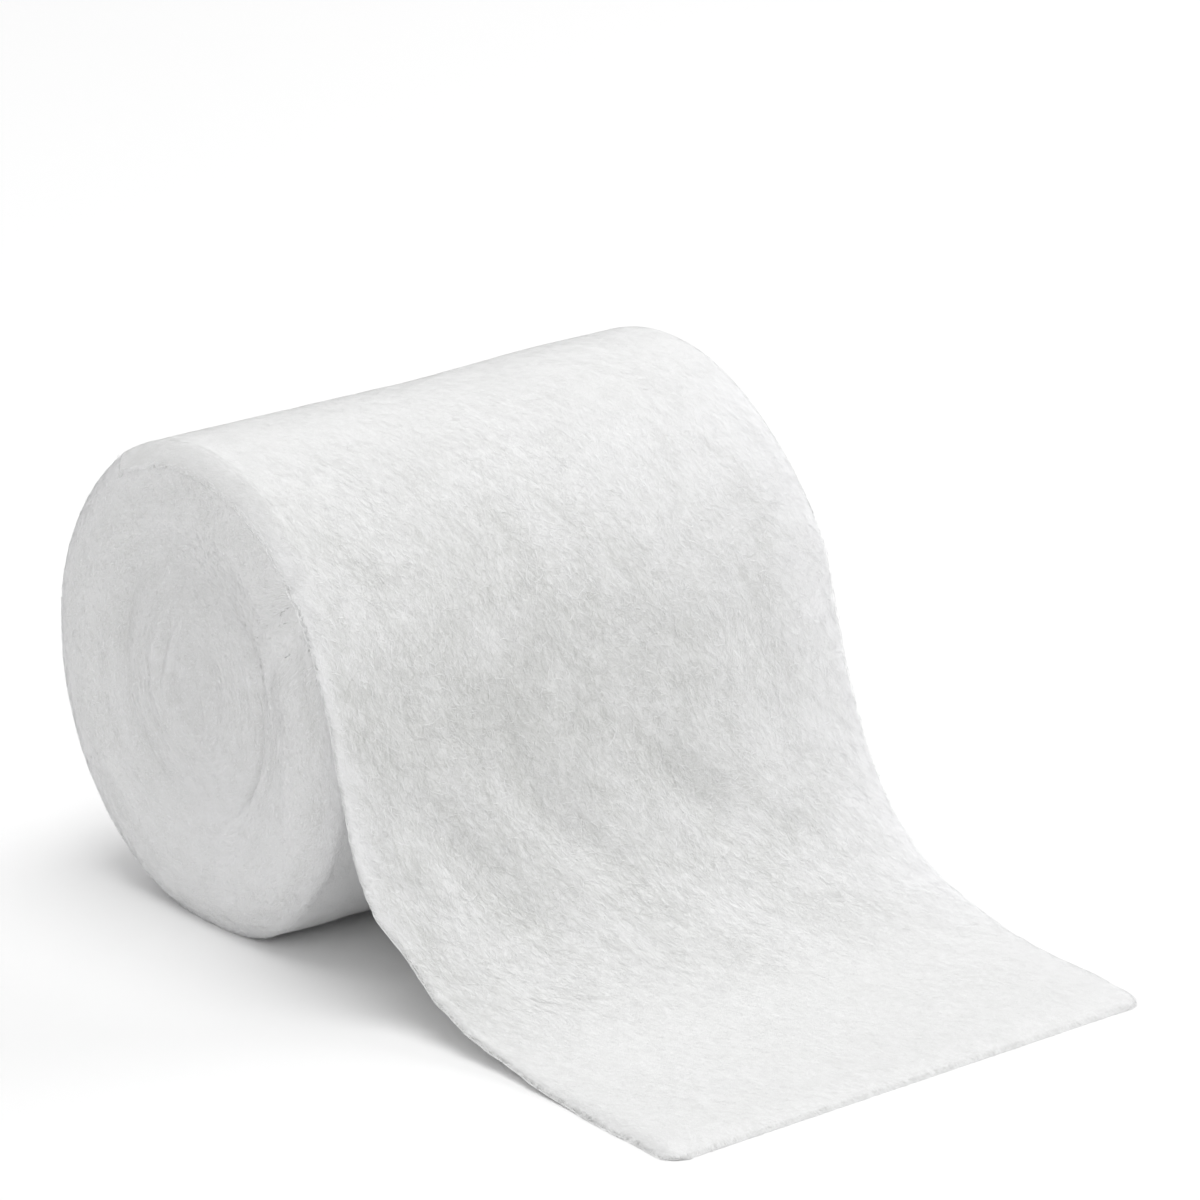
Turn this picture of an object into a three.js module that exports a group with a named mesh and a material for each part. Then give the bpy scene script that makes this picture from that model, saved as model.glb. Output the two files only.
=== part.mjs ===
// A roll of cast padding lying on its side, with its loose end run down to the surface in front of it.
// Millimetres. X runs along the roll's axis, -Y towards the loose end's tip and +Z up.
// The origin is on the surface, under the middle of the whole part.
import * as THREE from "three";
import { mergeVertices } from "three/addons/utils/BufferGeometryUtils.js";

const { degToRad, lerp, smoothstep } = THREE.MathUtils;

// The padding and the roll as a whole
const WIDTH = 100;
const LENGTH = 163.4; // from the roll's back to the furthest corner of the tip
const SHEET = 1.6; // one layer of padding
const GAP = 0.3; // between the two solids
const ROLL_RADIUS = 40; // to the outside of the outermost turn
const AXIS_HEIGHT = 38.2; // under the radius, so that the roll rests on a small flat spot
const BACK_INSET = 0.45; // from the outermost turn's radius to the roll's back
const AXIS_Y = LENGTH / 2 - ROLL_RADIUS + BACK_INSET;

// Angles about the axis, from +Y over the top to -Y. The outermost turn lies on the roll between them.
const SHEET_START = 60;
const SHEET_LEAVES = 164.5;
const SEAM_GAP = 0.43; // 0.3 mm at the roll's radius
const SEAM_SLOPE = 1.5; // the step where the turn below rises to the outermost one

// The top of the roll swells a little towards the +X end
const SWELL = { height: 1.4, from: 3, to: 32, middle: 95, reach: 60 };
// Its lower front sags out a little above the flat spot
const SAG = { height: 1.2, middle: 246, reach: 24 };

// Rounded shoulders: how deep they go along the axis, and how far they reach in from the outside
const SHOULDER = { depth: 4.5, reach: 13 };
const END_INSET = { near: 0.8, far: 0.2 }; // from the padding's edges to the crest of each end face

// An end face from its middle outwards: a core, a groove around it, and a soft crest
const FACE_PROFILE = [
  { radius: 0, recess: 3.6 },
  { radius: 4, recess: 2.4 },
  { radius: 12, recess: 2.2 },
  { radius: 17, recess: 3.4 },
  { radius: 22, recess: 1.6 },
  { radius: 27, recess: 0 },
];
// The main turns stand up from the end faces as one low spiral ridge
const TURN = { pitch: 6.5, height: 0.7, fullFrom: 4, fadesFrom: 28, endsAt: 34 };
const CORE = { reach: 9, squeeze: 0.5 }; // the first turns are flattened towards an upright oval

// The free part of the loose end: how firmly its curve holds its direction at each end, and where it lies flat
const FALL = { top: 42, foot: 46, flatFrom: -62 };
const TIP_SKEW = { by: 3.1, reach: 60 }; // the tip is cut a little aslant
const CORNER_RADIUS = 4;

// How far the sheet's two edges lie inside its full width, along its path
const EDGES = [
  { along: 0, near: 1.6, far: 1.6 },
  { along: 73, near: 0, far: 0 },
  { along: 104, near: 0, far: 0 },
  { along: 116, near: 2.1, far: 0 },
  { along: 150, near: 2.1, far: 0.2 },
  { along: 166, near: 1.1, far: 0.4 },
  { along: 181, near: 0.8, far: 1.2 },
];
// At its start the sheet hugs the roll's shoulders, and it lets go of them between two shares of its way round
const HUG = { share: 0.85, from: 0.35, to: 1.05, into: 0.87 };

// Soft troughs in the free part: along and across their middle, their half sizes, slant and depth
const HOLLOWS = [
  { along: 97, across: -29, long: 15, wide: 6, slant: 40, depth: 1.6 },
  { along: 97, across: -8, long: 13, wide: 5, slant: 32, depth: 1.5 },
  { along: 95, across: 14, long: 13, wide: 6, slant: 42, depth: 1.1 },
  { along: 118, across: -36, long: 12, wide: 6, slant: 20, depth: 0.7 },
];
const HOLLOWS_FADE_IN = { from: 77, to: 92 };

// Steps of the two surfaces
const ROLL_STEPS = { around: 72, face: 17, shoulder: 6, side: 8 };
const SHEET_STEPS = { along: 50, corner: 3, across: 24, edge: 4 };
const EDGE_BAND = 5.5; // beside each edge, where the sheet's steps are closer together
const WELD = 0.001; // points closer than this are one

function bump(value) {
  return Math.exp(-value * value);
}

// A column of a table at a place between its rows, eased from row to row
function fromTable(rows, key, at, column) {
  const after = rows.findIndex((row) => row[key] > at);
  if (after < 0) return rows.at(-1)[column];
  const [a, b] = [rows[after - 1], rows[after]];
  return lerp(a[column], b[column], smoothstep(at, a[key], b[key]));
}

// One closed surface, without the empty triangles where its patches meet in a point
function welded(patches) {
  patches.deleteAttribute("normal");
  patches.deleteAttribute("uv");
  const geometry = mergeVertices(patches, WELD);
  const corners = geometry.getIndex().array;
  const kept = [];
  for (let i = 0; i < corners.length; i += 3) {
    const [a, b, c] = corners.subarray(i, i + 3);
    if (a !== b && b !== c && c !== a) kept.push(a, b, c);
  }
  geometry.setIndex(kept);
  geometry.computeVertexNormals();
  return geometry;
}

// The outside of the outermost turn, as a radius about the axis
function envelopeRadius(angle, x) {
  const swing = THREE.MathUtils.clamp((angle - SWELL.middle) / SWELL.reach, -1, 1);
  const overTop = Math.cos((swing * Math.PI) / 2) ** 2;
  const swell = SWELL.height * smoothstep(x, SWELL.from, SWELL.to) * overTop;
  return ROLL_RADIUS + swell + SAG.height * bump((angle - SAG.middle) / SAG.reach);
}

// How far the turns below lie under that outside. Past the place where the sheet leaves, they climb back to it.
function turnInset(angle) {
  const full = SHEET + GAP;
  if (angle <= SHEET_LEAVES) return full;
  const climb = (angle - SHEET_LEAVES) / (SHEET_START + 360 - SEAM_GAP - SEAM_SLOPE - SHEET_LEAVES);
  return full * (1 - climb);
}

// The spiral ridge's recess, nothing on its crests and on the smooth shoulder
function turnRecess(radius, angle) {
  const theta = degToRad(angle);
  const nearCore = bump(radius / CORE.reach);
  const across = radius * Math.cos(theta) * (1 + CORE.squeeze * nearCore);
  const turns = Math.hypot(across, radius * Math.sin(theta)) / TURN.pitch - angle / 360;
  const fade = smoothstep(radius, 0, TURN.fullFrom) * (1 - smoothstep(radius, TURN.fadesFrom, TURN.endsAt));
  return TURN.height * fade * (0.5 - 0.5 * Math.cos(2 * Math.PI * turns));
}

// The roll's outline as turned about its axis: end face, shoulder, side, shoulder, end face
function rollOutline() {
  const flatRadius = ROLL_RADIUS - SHOULDER.reach;
  const near = WIDTH / 2 - END_INSET.near;
  const far = WIDTH / 2 - END_INSET.far;
  const half = (face) => {
    const points = [];
    for (let i = 0; i < ROLL_STEPS.face; i++) {
      points.push(new THREE.Vector2((flatRadius * i) / ROLL_STEPS.face, face));
    }
    for (let i = 0; i <= ROLL_STEPS.shoulder; i++) {
      const turn = (Math.PI / 2) * (i / ROLL_STEPS.shoulder);
      const radius = flatRadius + SHOULDER.reach * Math.sin(turn);
      points.push(new THREE.Vector2(radius, face - SHOULDER.depth * (1 - Math.cos(turn))));
    }
    return points;
  };
  const nearHalf = half(near).map((p) => new THREE.Vector2(p.x, -p.y));
  const farHalf = half(far).reverse();
  const side = [];
  for (let i = 1; i < ROLL_STEPS.side; i++) {
    const x = lerp(nearHalf.at(-1).y, farHalf[0].y, i / ROLL_STEPS.side);
    side.push(new THREE.Vector2(ROLL_RADIUS, x));
  }
  return [...nearHalf, ...side, ...farHalf];
}

// The angle of a station: the steps start just behind the seam, and the last one is the seam's own slope
function stationAngle(index) {
  const start = SHEET_START - SEAM_GAP;
  return start + (index * (360 - SEAM_SLOPE)) / ROLL_STEPS.around;
}

function woundRoll() {
  const stations = ROLL_STEPS.around + 1;
  const geometry = new THREE.LatheGeometry(rollOutline(), stations);
  const places = geometry.getAttribute("position");
  for (let i = 0; i < places.count; i++) {
    const nominal = Math.hypot(places.getX(i), places.getZ(i));
    const x = places.getY(i);
    const turned = Math.atan2(places.getX(i), places.getZ(i)) / (2 * Math.PI);
    const angle = stationAngle(Math.round((turned + 1) * stations) % stations);
    const outside = envelopeRadius(angle, x) - turnInset(angle);
    const radius = (nominal / ROLL_RADIUS) * outside;
    const onFace = Math.abs(x) > WIDTH / 2 - END_INSET.near - SHOULDER.depth;
    const dip = fromTable(FACE_PROFILE, "radius", nominal, "recess");
    const recess = onFace ? dip + turnRecess(nominal, angle) : 0;
    const theta = degToRad(angle);
    const height = AXIS_HEIGHT + radius * Math.sin(theta);
    places.setXYZ(i, x - Math.sign(x) * recess, AXIS_Y + radius * Math.cos(theta), Math.max(0, height));
  }
  return welded(geometry);
}

// The path of the sheet's outer surface in the YZ plane: over the roll, down in one curve, and along the surface
function sheetPath() {
  const leave = degToRad(SHEET_LEAVES);
  const top = new THREE.Vector2(Math.cos(leave), Math.sin(leave)).multiplyScalar(ROLL_RADIUS);
  top.add(new THREE.Vector2(AXIS_Y, AXIS_HEIGHT));
  const down = new THREE.Vector2(-Math.sin(leave), Math.cos(leave));
  const foot = new THREE.Vector2(FALL.flatFrom, SHEET);
  const furthest = WIDTH / 2 - EDGES.at(-1).near - CORNER_RADIUS;
  const tip = new THREE.Vector2(TIP_SKEW.by * (furthest / (WIDTH / 2)) - LENGTH / 2, SHEET);
  const path = new THREE.CurvePath();
  const start = degToRad(SHEET_START);
  path.add(new THREE.EllipseCurve(AXIS_Y, AXIS_HEIGHT, ROLL_RADIUS, ROLL_RADIUS, start, leave));
  path.add(
    new THREE.CubicBezierCurve(
      top,
      top.clone().addScaledVector(down, FALL.top),
      foot.clone().setX(foot.x + FALL.foot),
      foot,
    ),
  );
  path.add(new THREE.LineCurve(foot, tip));
  return path;
}

// Troughs, across the sheet's free part
function hollowDepth(along, x) {
  let depth = 0;
  for (const hollow of HOLLOWS) {
    const slant = degToRad(hollow.slant);
    const du = along - hollow.along;
    const dx = x - hollow.across;
    const lengthwise = du * Math.cos(slant) + dx * Math.sin(slant);
    const sideways = dx * Math.cos(slant) - du * Math.sin(slant);
    depth += hollow.depth * bump(lengthwise / hollow.long) * bump(sideways / hollow.wide);
  }
  return depth * smoothstep(along, HOLLOWS_FADE_IN.from, HOLLOWS_FADE_IN.to);
}

// How far the roll's rounded shoulder lies under its side, at a distance from the middle of its width
function shoulderDrop(x) {
  const inset = x < 0 ? END_INSET.near : END_INSET.far;
  const crest = WIDTH / 2 - inset;
  const into = THREE.MathUtils.clamp((Math.abs(x) - crest + SHOULDER.depth) / SHOULDER.depth, 0, HUG.into);
  return SHOULDER.reach * (1 - Math.sqrt(1 - into * into));
}

// Positions of the sheet's rows along its path, closer together in the tip's rounded corners
function rowAlong(share, total) {
  const plain = SHEET_STEPS.along - SHEET_STEPS.corner;
  const row = Math.round(share * SHEET_STEPS.along);
  const body = total - CORNER_RADIUS;
  if (row <= plain) return (body * row) / plain;
  const turn = ((row - plain) / SHEET_STEPS.corner) * (Math.PI / 2);
  return body + CORNER_RADIUS * Math.sin(turn);
}

// A column's distance from the middle of the width, closer together beside the edges
function columnAcross(share, halfWidth) {
  const column = Math.round((Math.abs(share) * SHEET_STEPS.across) / 2);
  const inner = SHEET_STEPS.across / 2 - SHEET_STEPS.edge;
  const innerWidth = halfWidth - EDGE_BAND;
  const distance =
    column <= inner
      ? (innerWidth * column) / inner
      : innerWidth + (EDGE_BAND * (column - inner)) / SHEET_STEPS.edge;
  return Math.sign(share) * distance;
}

function looseEnd() {
  const path = sheetPath();
  const total = path.getLength();
  const onRoll = path.curves[0].getLength();
  const { along: rows, across: columns } = SHEET_STEPS;
  const geometry = new THREE.BoxGeometry(2, 1, 1, columns, rows, 1);
  const places = geometry.getAttribute("position");
  for (let i = 0; i < places.count; i++) {
    const share = places.getX(i);
    const along = rowAlong(places.getY(i) + 0.5, total);
    const outer = places.getZ(i) < 0;
    const past = Math.max(0, along - total + CORNER_RADIUS);
    const corner = CORNER_RADIUS - Math.sqrt(CORNER_RADIUS ** 2 - past ** 2);
    const inset = fromTable(EDGES, "along", along, share < 0 ? "near" : "far");
    const x = columnAcross(share, WIDTH / 2 - inset - corner);

    const at = path.getPoint(along / total);
    const tangent = path.getTangent(along / total);
    const normal = new THREE.Vector2(tangent.y, -tangent.x);
    const angle = lerp(SHEET_START, SHEET_LEAVES, Math.min(1, along / onRoll));
    const swell = along < onRoll ? envelopeRadius(angle, x) - ROLL_RADIUS : 0;
    const hug = HUG.share * (1 - smoothstep(along / onRoll, HUG.from, HUG.to));
    const drop = hug * shoulderDrop(x) + hollowDepth(along, x) + (outer ? 0 : SHEET);
    at.addScaledVector(normal, swell - drop);

    const skew = TIP_SKEW.by * smoothstep(along, total - TIP_SKEW.reach, total);
    places.setXYZ(i, x, at.x + (skew * x) / (WIDTH / 2), at.y);
  }
  return welded(geometry);
}

function padding() {
  return new THREE.MeshStandardMaterial({ color: 0xeef0ef, roughness: 1, metalness: 0 });
}

const group = new THREE.Group();
for (const [name, geometry] of [
  ["wound_roll", woundRoll()],
  ["loose_end", looseEnd()],
]) {
  const mesh = new THREE.Mesh(geometry, padding());
  mesh.name = name;
  group.add(mesh);
}

export default group;
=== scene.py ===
"""A roll of soft cast padding on its side, with its loose end run down to the table."""

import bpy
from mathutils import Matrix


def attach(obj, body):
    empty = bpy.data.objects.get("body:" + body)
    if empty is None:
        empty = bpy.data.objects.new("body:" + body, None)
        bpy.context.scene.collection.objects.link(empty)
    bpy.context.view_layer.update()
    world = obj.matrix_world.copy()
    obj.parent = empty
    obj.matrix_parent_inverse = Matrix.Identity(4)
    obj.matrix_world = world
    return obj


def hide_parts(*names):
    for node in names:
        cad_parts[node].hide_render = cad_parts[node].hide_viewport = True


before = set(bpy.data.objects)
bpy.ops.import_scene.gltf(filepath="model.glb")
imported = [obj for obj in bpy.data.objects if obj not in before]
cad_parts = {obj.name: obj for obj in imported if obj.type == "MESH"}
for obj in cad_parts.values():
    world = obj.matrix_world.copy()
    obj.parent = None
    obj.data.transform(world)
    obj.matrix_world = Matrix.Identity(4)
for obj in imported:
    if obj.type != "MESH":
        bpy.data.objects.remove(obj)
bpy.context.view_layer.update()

import math

import bpy
import numpy as np
from mathutils import Vector

bl_info = {
    "name": "Cast Padding Roll",
    "version": (1, 0, 0),
    "blender": (4, 5, 0),
    "location": "View3D > Sidebar > Padding",
    "description": "Builds a wound roll of non-woven padding with its loose end laid out in front",
    "category": "Add Mesh",
}

MM = 0.001

# The roll, in millimetres. X is its axis, -Y the way to the loose end's tip, +Z up.
WIDTH = 100.0
LENGTH = 163.4
SHEET = 1.6
GAP = 0.3
ROLL_RADIUS = 40.0
AXIS_HEIGHT = 38.2
AXIS_Y = LENGTH / 2 - ROLL_RADIUS + 0.45

# Angles about the axis, from +Y over the top to -Y
SHEET_START = 60.0
SHEET_LEAVES = 164.5
FEATHER = (-1.6, 3.2)  # the sheet thickens from nothing between these places on its path

SWELL = dict(height=1.4, start=3.0, end=32.0, middle=95.0, reach=60.0)
SAG = dict(height=1.2, middle=246.0, reach=24.0)
SHOULDER_DEPTH = 4.5
SHOULDER_REACH = 13.0
NEAR_FACE = WIDTH / 2 - 0.8
FAR_FACE = WIDTH / 2 - 0.2
FACE_PROFILE = ((0, 2.7), (4, 2.5), (12, 2.1), (15.5, 2.5), (19, 2.9), (24, 1.5), (29, 0.1))
FACE_CENTRE = (2.2, 0.8)  # the end face's ring sits a little behind the axis
TURN_PITCH = 6.5
TURN_HEIGHT = 0.35
LAYER_PITCH = 1.35
LAYER_HEIGHT = 0.12
CORE_REACH = 9.0
CORE_SQUEEZE = 0.5
LIP_FADES = (148.0, 164.0)  # the turns stand level with the sheet's edge up to here, then fall behind it
LIP_REACH = 8.0
LIP_UNDER = (0.1, 2.2)  # the turns sink under the sheet between these places inside its edge
LIP_PROUD = 0.08  # and stand this share of half the sheet's thickness above its edge
SEAT = 0.04  # between the turns and the sheet's underside
START_DIP = 0.4  # the turns dip by this where the sheet comes out of them

FALL_TOP = 42.0
FALL_FOOT = 46.0
FLAT_FROM = -62.0
TIP_SKEW = 3.1
SKEW_REACH = 60.0
CORNER_RADIUS = 4.0
# How far the sheet's edges stop short of half its width, across its surface: along, near edge, far edge
EDGES = ((0, 0.4, 0.5), (73, 0.3, 0.3), (104, 0.3, 0.3), (116, 2.4, 0.3), (150, 2.4, 0.5), (166, 1.4, 0.7),
         (181, 1.1, 1.5))
ROUNDED = 1.25  # the sheet's edges round off over this, and its tip over the next
TIP_ROUNDED = 5.5
HUG = dict(share=0.85, start=0.35, end=1.05)  # how far the sheet bends down over the roll's rounded ends
FIBRE_SLANT = 28.0  # degrees from the sheet's length towards its far edge, less where it lies flat
FLAT_SLANT = 8.0
THIN_LIT_BAND = 4.5  # the web is thinner near its edges and painted lighter over this band, painted light for the light that shines through the thin web
HOLLOWS = (  # along, across, long, wide, slant, depth
    (107, -27, 16, 4.8, 33, 1.7),
    (101, -10.5, 12, 4.2, 36, 2.1),
    (101, 14, 12, 4.2, 38, 1.7),
    (114, -41, 12, 4.5, 14, 0.8),
    (80, -20, 11, 6, 30, 0.8),
)

# Marks on the near end face: (angle, radius, how deep) along each, and its half width
NEAR_MARKS = (
    (((157, 15.8, 0.1), (172, 16.2, 0.5), (187, 16.9, 0.9), (200, 18.1, 1.2), (215, 19.0, 1.35),
      (227, 19.2, 1.0), (244, 19.6, 0.4), (260, 21.4, 0.1)), 0.75),
    (((-45, 12.9, 0), (-20, 12.8, -0.3), (3, 12.5, -0.55), (20, 12.6, -0.6), (38, 13.1, -0.5),
      (52, 14.0, 0)), 0.6),
    (((-20, 9.8, 0), (-6, 9.5, -0.3), (13, 8.5, -0.55), (34, 8.6, -0.55), (56, 10.2, -0.4),
      (70, 11.5, 0)), 0.55),
    (((-12, 11.0, 0), (2, 10.6, 0.4), (24, 10.4, 0.7), (46, 11.2, 0.5), (60, 12.4, 0)), 0.7),
    (((200, 1.6, 0), (226, 1.9, -0.4), (262, 7.2, -0.3), (273, 11.8, 0)), 0.6),
    (((-20, 22.5, 0), (6, 22.3, 0.6), (25, 23.0, 0.9), (43, 25.0, 0.8), (56, 27.5, 0.5), (68, 31.0, 0)), 2.6),
    (((132, 38.0, 0), (142, 36.2, 0.5), (152, 34.6, 0.9), (162, 33.2, 1.0), (171, 33.9, 0.9),
      (180, 35.8, 0.6), (189, 38.0, 0)), 1.7),
    (((175, 26.0, 0), (190, 28.5, -0.5), (205, 31.5, -0.7), (217, 34.5, -0.4), (228, 36.0, 0)), 3.0),
    (((192, 31.5, 0), (200, 33.8, 0.3), (210, 35.5, 0.4), (221, 37.0, 0)), 0.8),
)
FAR_MARKS = (
    (((20, 17.0, 0), (45, 17.6, 0.8), (80, 18.6, 1.2), (115, 19.5, 0.7), (140, 20.0, 0)), 0.8),
    (((150, 9.0, 0), (190, 9.6, -0.5), (230, 9.0, -0.5), (265, 9.4, 0)), 0.6),
    (((210, 25.0, 0), (245, 24.0, 0.6), (290, 24.5, 0.6), (320, 26.0, 0)), 2.4),
)


def ease(value, low, high):
    """A smooth step from 0 to 1 between low and high."""
    share = np.clip((value - low) / (high - low), 0, 1)
    return share * share * (3 - 2 * share)


def bump(value):
    return np.exp(-value * value)


def eased_table(at, rows, column):
    """A column of a table at places between its rows, eased from row to row."""
    places = [row[0] for row in rows]
    after = np.clip(np.searchsorted(places, at, side="right"), 1, len(rows) - 1)
    low = np.array([row[0] for row in rows])[after - 1]
    high = np.array(places)[after]
    values = np.array([row[column] for row in rows], float)
    share = ease(at, low, high)
    return values[after - 1] * (1 - share) + values[after] * share


def soft_noise(points, size, seed):
    """Smooth noise from -1 to 1 over points (n, 3), with features about size across."""
    table = np.random.default_rng(seed).uniform(-1, 1, 4096)
    scaled = points / size + 37.3
    cell = np.floor(scaled).astype(np.int64)
    part = scaled - cell
    part = part * part * (3 - 2 * part)
    total = np.zeros(len(points))
    for corner in range(8):
        step = np.array([corner & 1, corner >> 1 & 1, corner >> 2 & 1])
        weight = np.prod(np.where(step, part, 1 - part), axis=1)
        key = (cell + step) * np.array([73856093, 19349663, 83492791])
        total += weight * table[(key[:, 0] ^ key[:, 1] ^ key[:, 2]) & 4095]
    return total


def layered_noise(points, *layers):
    """Soft noise added up from layers of (share, size, seed)."""
    return sum(share * soft_noise(points, size, seed) for share, size, seed in layers)


def round_axis(first, radius, angle):
    """Places round an axis along the first coordinate, at an angle in degrees."""
    theta = np.radians(angle)
    return np.stack([first, radius * np.cos(theta), radius * np.sin(theta)], 1)


def unit(vectors):
    return vectors / np.maximum(np.linalg.norm(vectors, axis=-1, keepdims=True), 1e-9)


# The wound turns

def envelope_radius(angle, x):
    """The outside of the outermost turn. Angles run from 0 to 360."""
    swing = np.clip((angle - SWELL["middle"]) / SWELL["reach"], -1, 1)
    over_top = np.cos(swing * math.pi / 2) ** 2
    swell = SWELL["height"] * ease(x, SWELL["start"], SWELL["end"]) * over_top
    return ROLL_RADIUS + swell + SAG["height"] * bump((angle - SAG["middle"]) / SAG["reach"])


def sheet_thickness(along):
    """The sheet's thickness along its path: feathered where it comes off the turns below."""
    return 0.05 + (SHEET - 0.05) * ease(along, *FEATHER)


def hug_share(along):
    """How closely the sheet follows the roll's rounded ends, from 1 at its start to 0 where it hangs free."""
    share = HUG["share"] + (1 - HUG["share"]) * (1 - ease(along, 2, 12))
    return share * (1 - ease(along / ON_ROLL, HUG["start"], HUG["end"]))


def shoulder_drop(out):
    """How far the roll's rounded end falls, out from the shoulder's start."""
    into = np.clip(out / SHOULDER_DEPTH, 0, 0.87)
    return SHOULDER_REACH * (1 - np.sqrt(1 - into * into))


def shoulder_table():
    """How far out from the shoulder's start each distance over the sheet's surface gets, by share of hug."""
    out = np.linspace(0, 20, 2001)
    over = np.linspace(0, 20, 201)
    rows = []
    for share in np.linspace(0, 1, 21):
        legs = np.hypot(np.diff(out), share * np.diff(shoulder_drop(out)))
        rows.append(np.interp(over, np.concatenate([[0], np.cumsum(legs)]), out))
    return np.array(rows)


ON_ROLL = math.radians(SHEET_LEAVES - SHEET_START) * ROLL_RADIUS
SHOULDER_TABLE = shoulder_table()


def shoulder_start(side):
    return np.where(side < 0, NEAR_FACE, FAR_FACE) - SHOULDER_DEPTH


def x_across(across, along):
    """The x of a place on the sheet from its distance across the sheet's surface."""
    start = shoulder_start(across)
    over = np.clip(np.abs(across) - start, 0, 19.9) * 10
    share = np.clip(hug_share(along), 0, 0.999) * 20
    col, row = over.astype(int), share.astype(int)
    fc, fr = over - col, share - row
    out = (SHOULDER_TABLE[row, col] * (1 - fc) + SHOULDER_TABLE[row, col + 1] * fc) * (1 - fr)
    out += (SHOULDER_TABLE[row + 1, col] * (1 - fc) + SHOULDER_TABLE[row + 1, col + 1] * fc) * fr
    return np.sign(across) * (np.minimum(np.abs(across), start) + out)


def sheet_reach(along, side):
    """From the sheet's middle line to its near (side -1) or far (side 1) edge, over its surface."""
    held = np.clip(along, EDGES[0][0], EDGES[-1][0])
    inset = np.where(side < 0, eased_table(held, EDGES, 1), eased_table(held, EDGES, 2))
    past = np.clip(along - PATH_END + CORNER_RADIUS, 0, CORNER_RADIUS)
    corner = CORNER_RADIUS - np.sqrt(CORNER_RADIUS ** 2 - past ** 2)
    places = np.stack([along, 40 * side, np.zeros_like(along)], 1)
    wander = layered_noise(places, (0.28, 9, 21), (0.16, 2.6, 22))
    return WIDTH / 2 - inset - corner + wander * ease(along, 5, 60)


def marks_depth(marks, radius, angle):
    """The depth of drawn marks at a place on an end face."""
    depth = np.zeros_like(radius)
    for path, half_width in marks:
        path = np.array(path, float)
        turned = (angle - path[0, 0] + 60) % 360 + path[0, 0] - 60
        inside = (turned >= path[0, 0]) & (turned <= path[-1, 0])
        at = np.interp(turned, path[:, 0], path[:, 1])
        deep = np.interp(turned, path[:, 0], path[:, 2])
        depth += np.where(inside, deep * bump((radius - at) / half_width), 0)
    return depth


def face_recess(radius, angle, marks, seed):
    """How far an end face lies inside its crest."""
    theta = np.radians(angle)
    flat = radius[:, None] * np.stack([np.cos(theta), np.sin(theta), np.zeros_like(theta)], 1)
    shifted = np.array([*FACE_CENTRE, 0]) * ease(radius, 2, 14)[:, None]
    off = flat - shifted * (1 - ease(radius, 24, 34))[:, None]
    ring = np.hypot(off[:, 0], off[:, 1])
    near_core = bump(radius / CORE_REACH)
    turned = np.hypot(flat[:, 0] * (1 + CORE_SQUEEZE * near_core), flat[:, 1])
    fade = ease(radius, 2, 7) * (1 - ease(radius, 28, 34)) * (0.6 + 0.6 * soft_noise(flat, 13, seed + 5))
    main = TURN_HEIGHT * fade * (0.5 - 0.5 * np.cos(2 * math.pi * (turned / TURN_PITCH - angle / 360)))
    loose = layered_noise(flat, (0.55, 14, seed), (0.18, 6, seed + 1))
    layers = (turned + loose) / LAYER_PITCH - angle / 360
    shown = 0.15 + 0.85 * ease(soft_noise(flat, 8, seed + 2), 0, 0.7)
    fine_fade = ease(radius, 1, 5) * (1 - 0.75 * ease(radius, 22, 32))
    fine = LAYER_HEIGHT * fine_fade * shown * (0.5 + 0.5 * np.cos(2 * math.pi * layers)) ** 2
    uneven = layered_noise(flat, (0.2, 11, seed + 3), (0.07, 3.2, seed + 4))
    return eased_table(ring, FACE_PROFILE, 1) + main + fine + uneven + marks_depth(marks, radius, angle)


FLAT_RADIUS = ROLL_RADIUS - SHOULDER_REACH
SHOULDER_ARC = 14.2  # how far the profile runs round a shoulder
SIDE_LENGTH = NEAR_FACE + FAR_FACE - 2 * SHOULDER_DEPTH
PROFILE_LENGTH = 2 * (FLAT_RADIUS + SHOULDER_ARC) + SIDE_LENGTH


def roll_profile(w):
    """(radius, x) of the roll's outline at w along it, from the near face's middle to the far face's."""
    turn_near = np.clip((w - FLAT_RADIUS) / SHOULDER_ARC, 0, 1) * math.pi / 2
    back = PROFILE_LENGTH - w
    turn_far = np.clip((back - FLAT_RADIUS) / SHOULDER_ARC, 0, 1) * math.pi / 2
    near = w < PROFILE_LENGTH / 2
    on = np.where(near, w, back)
    turn = np.where(near, turn_near, turn_far)
    radius = np.where(on < FLAT_RADIUS, on, FLAT_RADIUS + SHOULDER_REACH * np.sin(turn))
    near_x = -NEAR_FACE + SHOULDER_DEPTH * (1 - np.cos(turn_near))
    far_x = FAR_FACE - SHOULDER_DEPTH * (1 - np.cos(turn_far))
    side = np.clip((w - FLAT_RADIUS - SHOULDER_ARC) / SIDE_LENGTH, 0, 1)
    x = np.where(side <= 0, near_x, np.where(side >= 1, far_x,
                 -NEAR_FACE + SHOULDER_DEPTH + side * SIDE_LENGTH))
    return radius, x


def roll_edge(angle, side):
    """Where along the roll's outline the sheet's edge lies."""
    along = (angle - SHEET_START) * math.radians(ROLL_RADIUS)
    out = np.abs(x_across(side * sheet_reach(along, side), along)) - shoulder_start(side)
    turn = np.arccos(np.clip(out / SHOULDER_DEPTH, 0, 1))
    return FLAT_RADIUS + SHOULDER_ARC * turn / (math.pi / 2)


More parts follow.
